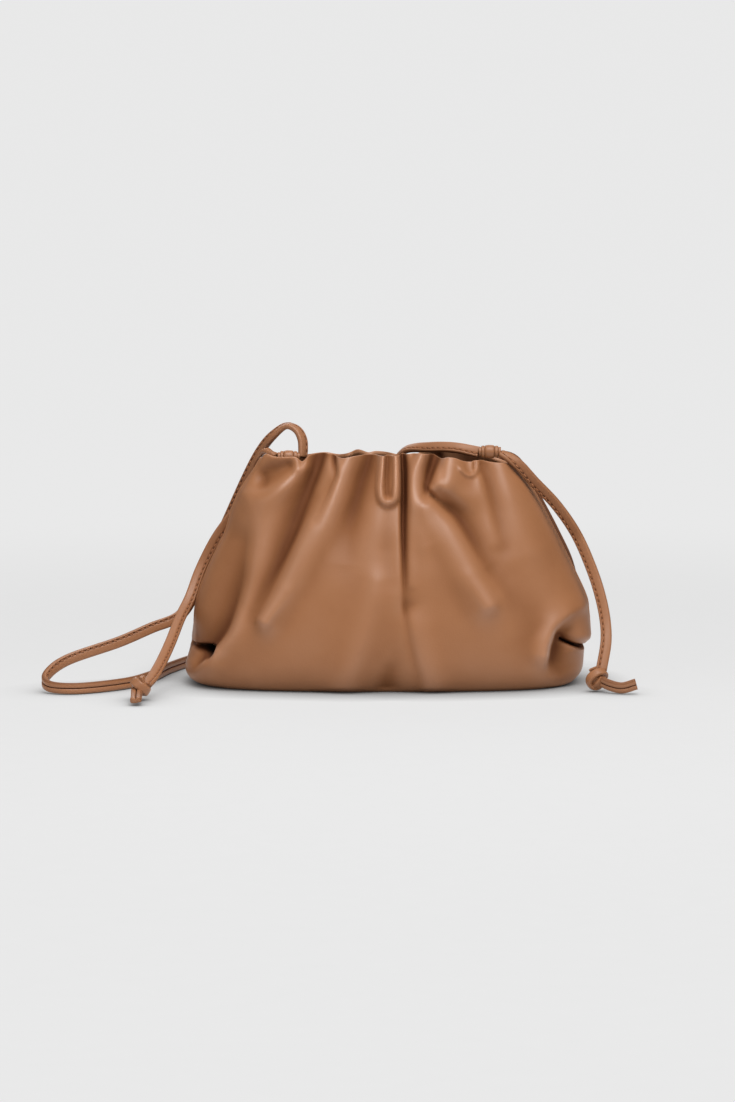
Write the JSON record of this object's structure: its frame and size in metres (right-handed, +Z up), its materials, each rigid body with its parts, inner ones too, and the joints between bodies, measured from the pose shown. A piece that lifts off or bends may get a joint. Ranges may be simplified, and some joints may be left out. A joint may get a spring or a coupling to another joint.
{
  "type": "gathered drawstring shoulder pouch",
  "caption": "Small soft leather pouch, gathered at its open mouth, with a thin flat shoulder strap tied by barrel knots at the top corners and knotted free ends.",
  "frame": {"origin": "middle of the pouch's flat base, on the surface it stands on", "axes": "+X along the pouch's width to the viewer's right, +Y from the front to the back, +Z up"},
  "size_m": [0.3341, 0.2003, 0.1476],
  "materials": {
    "pouch_leather": "satin",
    "strap_leather": "satin"
  },
  "bodies": {
    "root": {"pouch_body": "pouch_leather", "shoulder_strap": "strap_leather", "left_tail": "strap_leather", "right_tail": "strap_leather", "left_tie_knot": "strap_leather", "right_tie_knot": "strap_leather", "left_end_knot": "strap_leather", "right_end_knot": "strap_leather"}
  },
  "joints": []
}
